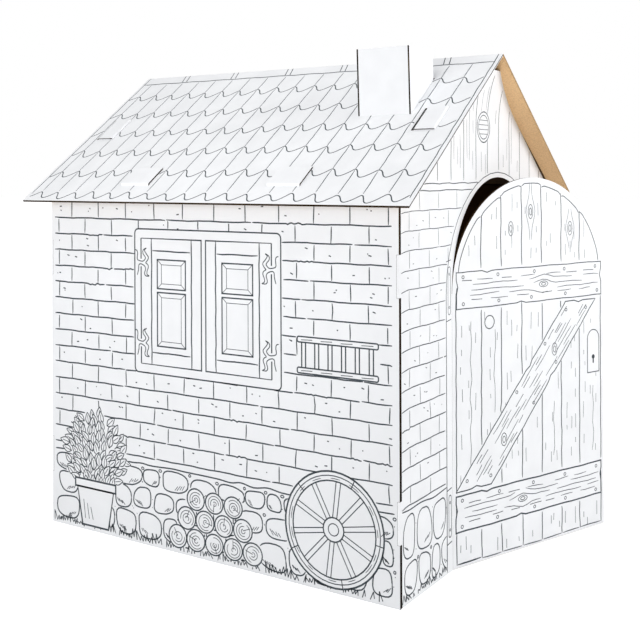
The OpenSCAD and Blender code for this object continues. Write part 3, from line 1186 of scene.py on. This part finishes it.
def ledge(sheet, x0, x1, y0, y1, knot_x, width):
    """A level board across the door, nailed at its ends and along its edges."""
    sheet.shape(nicked_outline(sheet, box_outline(x0, y0, x1, y1), LEDGE_NICKS), width)
    middle = (y0 + y1) / 2
    knot(sheet, knot_x, middle - 2, rx=15, ry=7)
    for row, y in enumerate((y0 + 19, y0 + 29, middle, y1 - 29, y1 - 19)):
        inner = row in (1, 2, 3)
        x = x0 + sheet.hand.uniform(14, 50)
        while x < x1 - 40:
            end = min(x1 - 10, x + sheet.hand.uniform(25, 60) * (3 if inner else 1))
            path = sheet.freehand((x, y), (end, y + sheet.hand.uniform(-2, 2)), stray=1.2)
            swell = (10 if y > middle - 2 else -10) if inner else 0
            sheet.ink([(px, py + swell * math.exp(-((px - knot_x) / 26) ** 2)) for px, py in path], FAINT)
            x = end + sheet.hand.uniform(14, 46)
    for k in range(5):
        x = x0 + 16 + (x1 - x0 - 32) * k / 4
        for y in (y0 + 11, y1 - 11):
            nail(sheet, x + sheet.hand.uniform(-6, 6), y)


def on_brace(across, share):
    """A point on the brace, at a level distance across it and a share of its length."""
    return (BRACE_FOOT[0] + across + BRACE_RUN[0] * share, BRACE_FOOT[1] + BRACE_RUN[1] * share)


def brace(sheet):
    """The sloping board between the ledges."""
    corners = [on_brace(0, 0), on_brace(BRACE_W, 0), on_brace(BRACE_W, 1), on_brace(0, 1)]
    sheet.shape(nicked_outline(sheet, corners, BRACE_NICKS), PLANK_LINE)
    for across, share in BRACE_KNOTS:
        knot(sheet, *on_brace(across, share), rx=9, ry=15)
    for across in range(14, BRACE_W - 8, 12):
        start = sheet.hand.uniform(0.03, 0.14)
        while start < 0.93:
            end = min(0.97, start + sheet.hand.uniform(0.04, 0.16))
            side = across + sheet.hand.uniform(-3, 3)
            by_knot = any(abs((start + end) / 2 - share) < 0.04 for _, share in BRACE_KNOTS)
            if not by_knot or abs(across - BRACE_MIDDLE) > BRACE_KNOT_ROOM:
                sheet.ink(sheet.freehand(on_brace(side, start), on_brace(side, end), stray=1.2), FAINT)
            start = end + sheet.hand.uniform(0.04, 0.16)
    for across, share in BRACE_NAILS:
        nail(sheet, *on_brace(across, share))


def lock_plate(sheet):
    """Arched plate with a keyhole."""
    x0, x1, y0, y1 = LOCK_PLATE
    r = (x1 - x0) / 2
    middle = x0 + r
    outline = [(x0, y0), (x1, y0)] + arc(middle, y1 - r, r, r, 0, 180)
    sheet.shape(outline, FINE)
    for k in range(3):
        sheet.ink(ring(middle, KEYHOLE_Y, 1.2 + 1.6 * k, spacing=40), FINE, closed=True)
    sheet.ink([(middle, KEYHOLE_Y - 3), (middle, KEYHOLE_Y - 16)], BOLD)


def plank_end(x0, x1, drop):
    """Top of one plank, a little lower than its place and rounded off at both corners."""
    spots = [x0 + 1 + (x1 - x0 - 2) * i / 8 for i in range(9)]
    path = [(x, plank_top(x) - drop) for x in spots]
    path[0] = (path[0][0], path[0][1] - 4)
    path[-1] = (path[-1][0], path[-1][1] - 4)
    return smooth(path, steps=3)


def grain_round_knot(sheet, x, y, reach):
    """Long strokes of grain that part on both sides of a knot."""
    for side in (-1, 1):
        heights = [y - reach + 2 * reach * i / 14 for i in range(15)]
        sheet.behind(
            [(x + side * (3 + 12 * math.exp(-((h - y) / 30) ** 2)), h) for h in heights], HAIR)


def planks(sheet):
    """Upright planks with uneven tops, between the edges of the door."""
    sides = (PLANK_LEFT, *PLANK_JOINTS, PLANK_RIGHT)
    middle_low, middle_top = MIDDLE_BAY
    for k, x in enumerate(PLANK_JOINTS):
        for low, high in ((PLANK_FOOT, LOW_BAY_TOP), MIDDLE_BAY, (HIGH_BAY_FOOT, plank_top(x) - 4)):
            ends = ((x, low), (x + sheet.hand.uniform(-2, 2), high))
            nicked = k % 2 and (low, high) == MIDDLE_BAY
            path = nicked_edge(sheet, *ends, 0.3 + 0.12 * k) if nicked else sheet.freehand(*ends, 1.4)
            sheet.behind(path, PLANK_LINE)
    for x in (PLANK_LEFT, PLANK_RIGHT):
        sheet.behind(sheet.freehand((x, PLANK_FOOT), (x, SPRING_Z), stray=0.8), PLANK_LINE)
    for x0, x1, drop in zip(sides, sides[1:], PLANK_DROPS):
        foot = PLANK_FOOT + sheet.hand.uniform(-1, 2)
        sheet.behind(sheet.freehand((x0 + 3, foot), (x1 - 3, foot), stray=0.6), LINE if x1 < 100 else FINE)
        sheet.behind(plank_end(x0, x1, drop), FINE)
        grain(sheet, x0, x1, PLANK_FOOT - 4, lambda x: LOW_BAY_TOP, spacing=16, width=LOW_GRAIN)
        grain(sheet, x0, x1, middle_low + 2, lambda x: middle_top - 1, spacing=20, width=MIDDLE_GRAIN)
        grain(sheet, x0, x1, HIGH_BAY_FOOT + 1, plank_top, spacing=20, width=HIGH_GRAIN)
    for x, low, high in LONG_GRAIN:
        path = sheet.freehand((x, low), (x + 2, high), stray=3.2, step=22)
        sheet.behind(along(path, step=9), LOW_GRAIN)
    for x, y in PLANK_KNOTS:
        knot(sheet, x, y, rx=8, ry=17)
    grain_round_knot(sheet, *PLANK_KNOTS[0], reach=66)
    grain_round_knot(sheet, *PLANK_KNOTS[2], reach=48)


def door_weight(_, y):
    """Weight of the pen on the door, heavier towards the foot."""
    return 1.14 - 0.2 * y / (SPRING_Z + DOOR_R)


def door_drawing(seed):
    sheet = Sheet(seed, box_outline(2, 2, DOORWAY_W - 2, SPRING_Z + DOOR_R - 2), door_weight)
    ledge(sheet, *LOW_LEDGE, knot_x=222, width=LINE)
    ledge(sheet, *HIGH_LEDGE, knot_x=296, width=FINE)
    lock_plate(sheet)
    brace(sheet)
    sheet.shape(ring(*KNOT_HOLE), FINE)
    planks(sheet)
    return sheet


# Roof: rows of curved tiles below a ridge cap

TILE_W = 58.8
TILE_PITCH = 89
FIRST_TILE_X = -512 - TILE_W
FIRST_TILE_FOOT = 100
TILE_ROWS = 6
RIDGE_CAP = 37
VERGE_MARGIN = 9
TILE_DROP = 24
TILE_LINE = 2.6
TILE_JOINT_LINE = 2
ROOF_WEIGHT = 1.06
RIDGE_LAPS = (-401, -229, -49, 120, 265, 410)

# Where the gable tabs lie on a slope: along it from the middle, and down from the ridge
FLAPS_ALONG = ((440, 501), (-508, -447))
FLAPS_DOWN = (-314, -226)

# The lower edge of a tile from joint to joint, as shares of its width and its drop
TILE_SWING = (
    (0.07, 0.07), (0.16, 0.36), (0.25, 0.76), (0.35, 0.97),
    (0.46, 0.98), (0.62, 0.78), (0.8, 0.4), (0.93, 0.08))


def tile_row(sheet, joints, feet, end):
    """Lower edges of one row of curved tiles, in one wave with a rounded peak at every joint."""
    wave = []
    for x, foot, after in zip(joints, feet, [*joints[1:], end]):
        following = feet[joints.index(after)] if after in joints else foot
        drop = TILE_DROP + sheet.hand.uniform(-3.5, 3.5)
        squeeze = sheet.hand.uniform(0.82, 1.12)
        wave.append((x, -foot))
        for across, down in TILE_SWING:
            share = across ** squeeze
            level = foot + (following - foot) * share
            wave.append((x + (after - x) * share, -(level + drop * down)))
    sheet.behind(smooth(wave, steps=2), TILE_LINE, step=5)


def roof_drawing(seed, front):
    """One slope of the roof, with its front end at the right for a front of 1, at the left for -1."""
    end = ROOF_HALF_L - VERGE_MARGIN
    last = FIRST_TILE_FOOT + TILE_PITCH * (TILE_ROWS - 1)
    sheet = Sheet(seed, box_outline(-end - 1, -last - 35, end + 1, -1.5), lambda x, y: ROOF_WEIGHT)
    for near, far in FLAPS_ALONG:
        sheet.covers.append(box_outline(front * near, FLAPS_DOWN[0], front * far, FLAPS_DOWN[1]))
    joints = [FIRST_TILE_X + TILE_W * k for k in range(int(2 * end // TILE_W) + 1)]
    sheet.ink(sheet.freehand((-end, -RIDGE_CAP), (end, -RIDGE_CAP), stray=1.2), LINE)
    for x in RIDGE_LAPS:
        for shift in (0, 15):
            sheet.ink(sheet.freehand((x + shift, -RIDGE_CAP + 3), (x + shift - 7, -3), stray=0.3), FINE)
    for x in (-end, end):
        sheet.ink(sheet.freehand((x, -2), (x, -last - 8), stray=0.8), FINE)
    heads = [RIDGE_CAP + 5] * len(joints)
    for row in range(TILE_ROWS):
        foot = FIRST_TILE_FOOT + TILE_PITCH * row
        feet = [foot + sheet.hand.uniform(-4, 4) for _ in joints]
        short = 6 if row == TILE_ROWS - 1 else 0
        for x, head, low in zip(joints, heads, feet):
            sheet.behind(sheet.freehand((x, -head), (x, -low + short), stray=0.8), TILE_JOINT_LINE)
        tile_row(sheet, joints, feet, end)
        heads = [low + 4 for low in feet]
    return sheet


# Printing: a flat nib swept along every stroke, laid on its panel

SHARP_TURN = math.radians(100)
STROKE_END = 0.6
WELD = 0.005 * MM


def select_only(piece):
    bpy.ops.object.select_all(action="DESELECT")
    piece.select_set(True)
    bpy.context.view_layer.objects.active = piece


def add_object(name, data):
    made = bpy.data.objects.new(name, data)
    bpy.context.collection.objects.link(made)
    return made


def flat_curve(name):
    curve = bpy.data.curves.new(name, "CURVE")
    curve.dimensions = "2D"
    curve.fill_mode = "NONE"
    return curve


def make_nib():
    curve = flat_curve("nib")
    spline = curve.splines.new("POLY")
    spline.points.add(3)
    for spot, (x, y) in zip(spline.points, box_outline(-0.5, 0, 0.5, 0.1)):
        spot.co = (x, y, 0, 1)
    spline.use_cyclic_u = True
    return add_object("nib", curve)


def panel(origin, right, up):
    """Placing of a flat sheet: its corner, and the ways that its x and y run."""
    right, up = Vector(right), Vector(up)
    return Matrix.Translation(origin) @ Matrix((right, up, right.cross(up))).transposed().to_4x4()


def bow(point):
    """Follows the outward bow of the front gable's free tip."""
    over = point.y - BOW_FROM
    if over > 0:
        turn = over / BOW_R
        r = BOW_R - point.z
        point.y = BOW_FROM + r * math.sin(turn)
        point.z = BOW_R - r * math.cos(turn)


def is_sharp(before, at, after):
    """Whether a path turns back on itself at a point, where a swept line would grow a spike."""
    into = Vector(at) - Vector(before)
    out = Vector(after) - Vector(at)
    return into.length > 0 and out.length > 0 and into.angle(out) > SHARP_TURN


def runs(points, closed):
    """A stroke in pieces that end at its sharp corners, each with whether it is a closed loop."""
    count = len(points)
    spots = range(count) if closed else range(1, count - 1)
    corners = [i for i in spots if is_sharp(points[i - 1], points[i], points[(i + 1) % count])]
    if closed and not corners:
        return [(points, True)]
    if closed:
        path = points[corners[0]:] + points[:corners[0] + 1]
        cuts = [i - corners[0] for i in corners] + [count]
    else:
        path = points
        cuts = [0, *corners, count - 1]
    return [(path[a:b + 1], False) for a, b in zip(cuts, cuts[1:])]


def add_line(curve, points, width, closed, weight):
    spline = curve.splines.new("POLY")
    spline.points.add(len(points) - 1)
    spline.use_cyclic_u = closed
    for spot, (x, y) in zip(spline.points, points):
        spot.co = (x * MM, y * MM, 0, 1)
        spot.radius = width * weight(x, y) * MM
    if not closed and len(points) > 3:
        spline.points[0].radius *= STROKE_END
        spline.points[-1].radius *= STROKE_END


def print_sheet(name, sheet, place, body, shaped=None):
    """Sweeps the strokes into thin raised ink and lays it on a panel."""
    curve = flat_curve(name)
    curve.bevel_mode = "OBJECT"
    curve.bevel_object = NIB
    curve.use_fill_caps = True
    for points, width, closed in sheet.strokes:
        for piece, looped in runs(points, closed):
            add_line(curve, piece, width, looped, sheet.weight)
    select_only(add_object(name, curve))
    bpy.ops.object.convert(target="MESH")
    printed = bpy.context.object
    for vertex in printed.data.vertices:
        vertex.co.z = INK_RISE if vertex.co.z > 0 else 0
        if shaped:
            shaped(vertex.co)
    bpy.ops.object.mode_set(mode="EDIT")
    bpy.ops.mesh.select_all(action="SELECT")
    bpy.ops.mesh.remove_doubles(threshold=WELD)
    bpy.ops.mesh.normals_make_consistent(inside=False)
    bpy.ops.object.mode_set(mode="OBJECT")
    printed.matrix_world = place
    bpy.ops.object.transform_apply(location=True, rotation=True, scale=True)
    printed.data.materials.clear()
    printed.data.materials.append(PRINTING_INK)
    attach(printed, body)


NIB = make_nib()
UP = (0, 0, 1)
UP_LEFT_SLOPE = (SLOPE_COS, 0, SLOPE_SIN)
UP_RIGHT_SLOPE = (-SLOPE_COS, 0, SLOPE_SIN)
RIDGE_MIDDLE = Vector((0, MIDDLE_Y, RIDGE_Z))

left_wall_panel = panel((LEFT_FACE, REAR_FACE, 0), FRONTWARD, UP)
right_wall_panel = panel((RIGHT_FACE, FRONT_FACE, 0), REARWARD, UP)
front_gable_panel = panel((0, FRONT_FACE, 0), RIGHTWARD, UP)
rear_gable_panel = panel((0, REAR_FACE, 0), LEFTWARD, UP)
door_panel = panel(HINGE, DOOR_ALONG, UP)
left_slope_panel = panel(RIDGE_MIDDLE, FRONTWARD, UP_LEFT_SLOPE)
right_slope_panel = panel(RIDGE_MIDDLE, REARWARD, UP_RIGHT_SLOPE)

print_sheet("left_wall_print", wall_drawing(11, decorated=True), left_wall_panel, "house")
print_sheet("right_wall_print", wall_drawing(12, decorated=False), right_wall_panel, "house")
print_sheet("front_gable_print", gable_drawing(13, doorway=True), front_gable_panel, "house", bow)
print_sheet("rear_gable_print", gable_drawing(14, doorway=False), rear_gable_panel, "house")
print_sheet("door_print", door_drawing(15), door_panel, "door")
print_sheet("roof_left_print", roof_drawing(16, front=1), left_slope_panel, "house")
print_sheet("roof_right_print", roof_drawing(17, front=-1), right_slope_panel, "house")
bpy.data.objects.remove(NIB)


# Floor, light and camera

SURROUND = 0.67
FLOOR_GLOW = 0.55
FLOOR_SIZE = 60
FLOOR_DROP = 0.5 * MM


def in_view(tree):
    """One for what the camera sees, straight or in a mirror or glass, and nought for light on the house."""
    path = node(tree, "ShaderNodeLightPath").outputs
    seen = math_node(tree, "MAXIMUM", path["Is Camera Ray"], path["Is Glossy Ray"])
    return math_node(tree, "MAXIMUM", seen, path["Is Transmission Ray"])


def floor_material():
    """Pale floor that stays white to the camera and keeps a soft shadow."""
    material, tree, shader, _ = new_material("pale_floor", roughness=0.9)
    shader.inputs["Base Color"].default_value = FLOOR_WHITE
    shader.inputs["Emission Color"].default_value = (1, 1, 1, 1)
    glow = math_node(tree, "MULTIPLY", in_view(tree), FLOOR_GLOW)
    tree.links.new(glow, shader.inputs["Emission Strength"])
    return material


def pale_floor():
    bpy.ops.object.select_all(action="DESELECT")
    bpy.ops.mesh.primitive_plane_add(size=FLOOR_SIZE, location=(0, 0, -FLOOR_DROP))
    floor = bpy.context.object
    floor.name = "floor"
    bpy.ops.object.transform_apply(location=True)
    floor.data.materials.append(floor_material())


def white_surround():
    """Even white light all round, and plain white behind the house."""
    world = bpy.data.worlds.new("white_surround")
    bpy.context.scene.world = world
    world.use_nodes = True
    tree = world.node_tree
    background = tree.nodes["Background"]
    background.inputs["Color"].default_value = (1, 1, 1, 1)
    lift = math_node(tree, "MULTIPLY", in_view(tree), 1 - SURROUND)
    tree.links.new(math_node(tree, "ADD", lift, SURROUND), background.inputs["Strength"])


def soft_box(name, at, target, size, power, spread):
    """A round softbox with a grid that keeps its light within an angle."""
    light = bpy.data.lights.new(name, "AREA")
    light.shape = "DISK"
    light.size = size
    light.energy = power
    light.spread = math.radians(spread)
    lamp = add_object(name, light)
    lamp.location = at
    lamp.rotation_euler = (Vector(target) - Vector(at)).to_track_quat("-Z", "Y").to_euler()


pale_floor()
white_surround()
soft_box(
    "front_softbox", at=(0.3, -2.7, 1.7), target=(0.05, FRONT_FACE, 0.95), size=1.4, power=8.4, spread=80)
soft_box(
    "side_softbox", at=(-3, 0.1, 0.85), target=(LEFT_FACE, MIDDLE_Y, 0.95), size=1.6, power=7.8, spread=90)
soft_box(
    "roof_softbox", at=(-1.7, 0.1, 3.3), target=(-0.25, MIDDLE_Y, 0.95), size=1.4, power=2.5, spread=70)

# The photograph's viewpoint: level, its frame slid down from the lens axis
CAMERA_AT = Vector((-2.2233, -1.4186, 0.8769))
CAMERA_YAW = math.radians(57.381)
CAMERA_PITCH = math.radians(0.021)
CAMERA_ROLL = math.radians(-0.239)
CAMERA_LENS = 57.491
CAMERA_SHIFT = (-0.01208, -0.22905)


def photo_camera():
    data = bpy.data.cameras.new("photo_camera")
    data.lens = CAMERA_LENS
    data.shift_x, data.shift_y = CAMERA_SHIFT
    camera = add_object("photo_camera", data)
    ahead = Vector((
        math.sin(CAMERA_YAW) * math.cos(CAMERA_PITCH),
        math.cos(CAMERA_YAW) * math.cos(CAMERA_PITCH),
        math.sin(CAMERA_PITCH)))
    level = Vector((math.cos(CAMERA_YAW), -math.sin(CAMERA_YAW), 0))
    over = level.cross(ahead)
    right = level * math.cos(CAMERA_ROLL) + over * math.sin(CAMERA_ROLL)
    up = over * math.cos(CAMERA_ROLL) - level * math.sin(CAMERA_ROLL)
    turn = Matrix((right, up, -ahead)).transposed().to_4x4()
    camera.matrix_world = Matrix.Translation(CAMERA_AT) @ turn
    bpy.context.scene.camera = camera


photo_camera()
bpy.context.scene.view_settings.view_transform = "Standard"
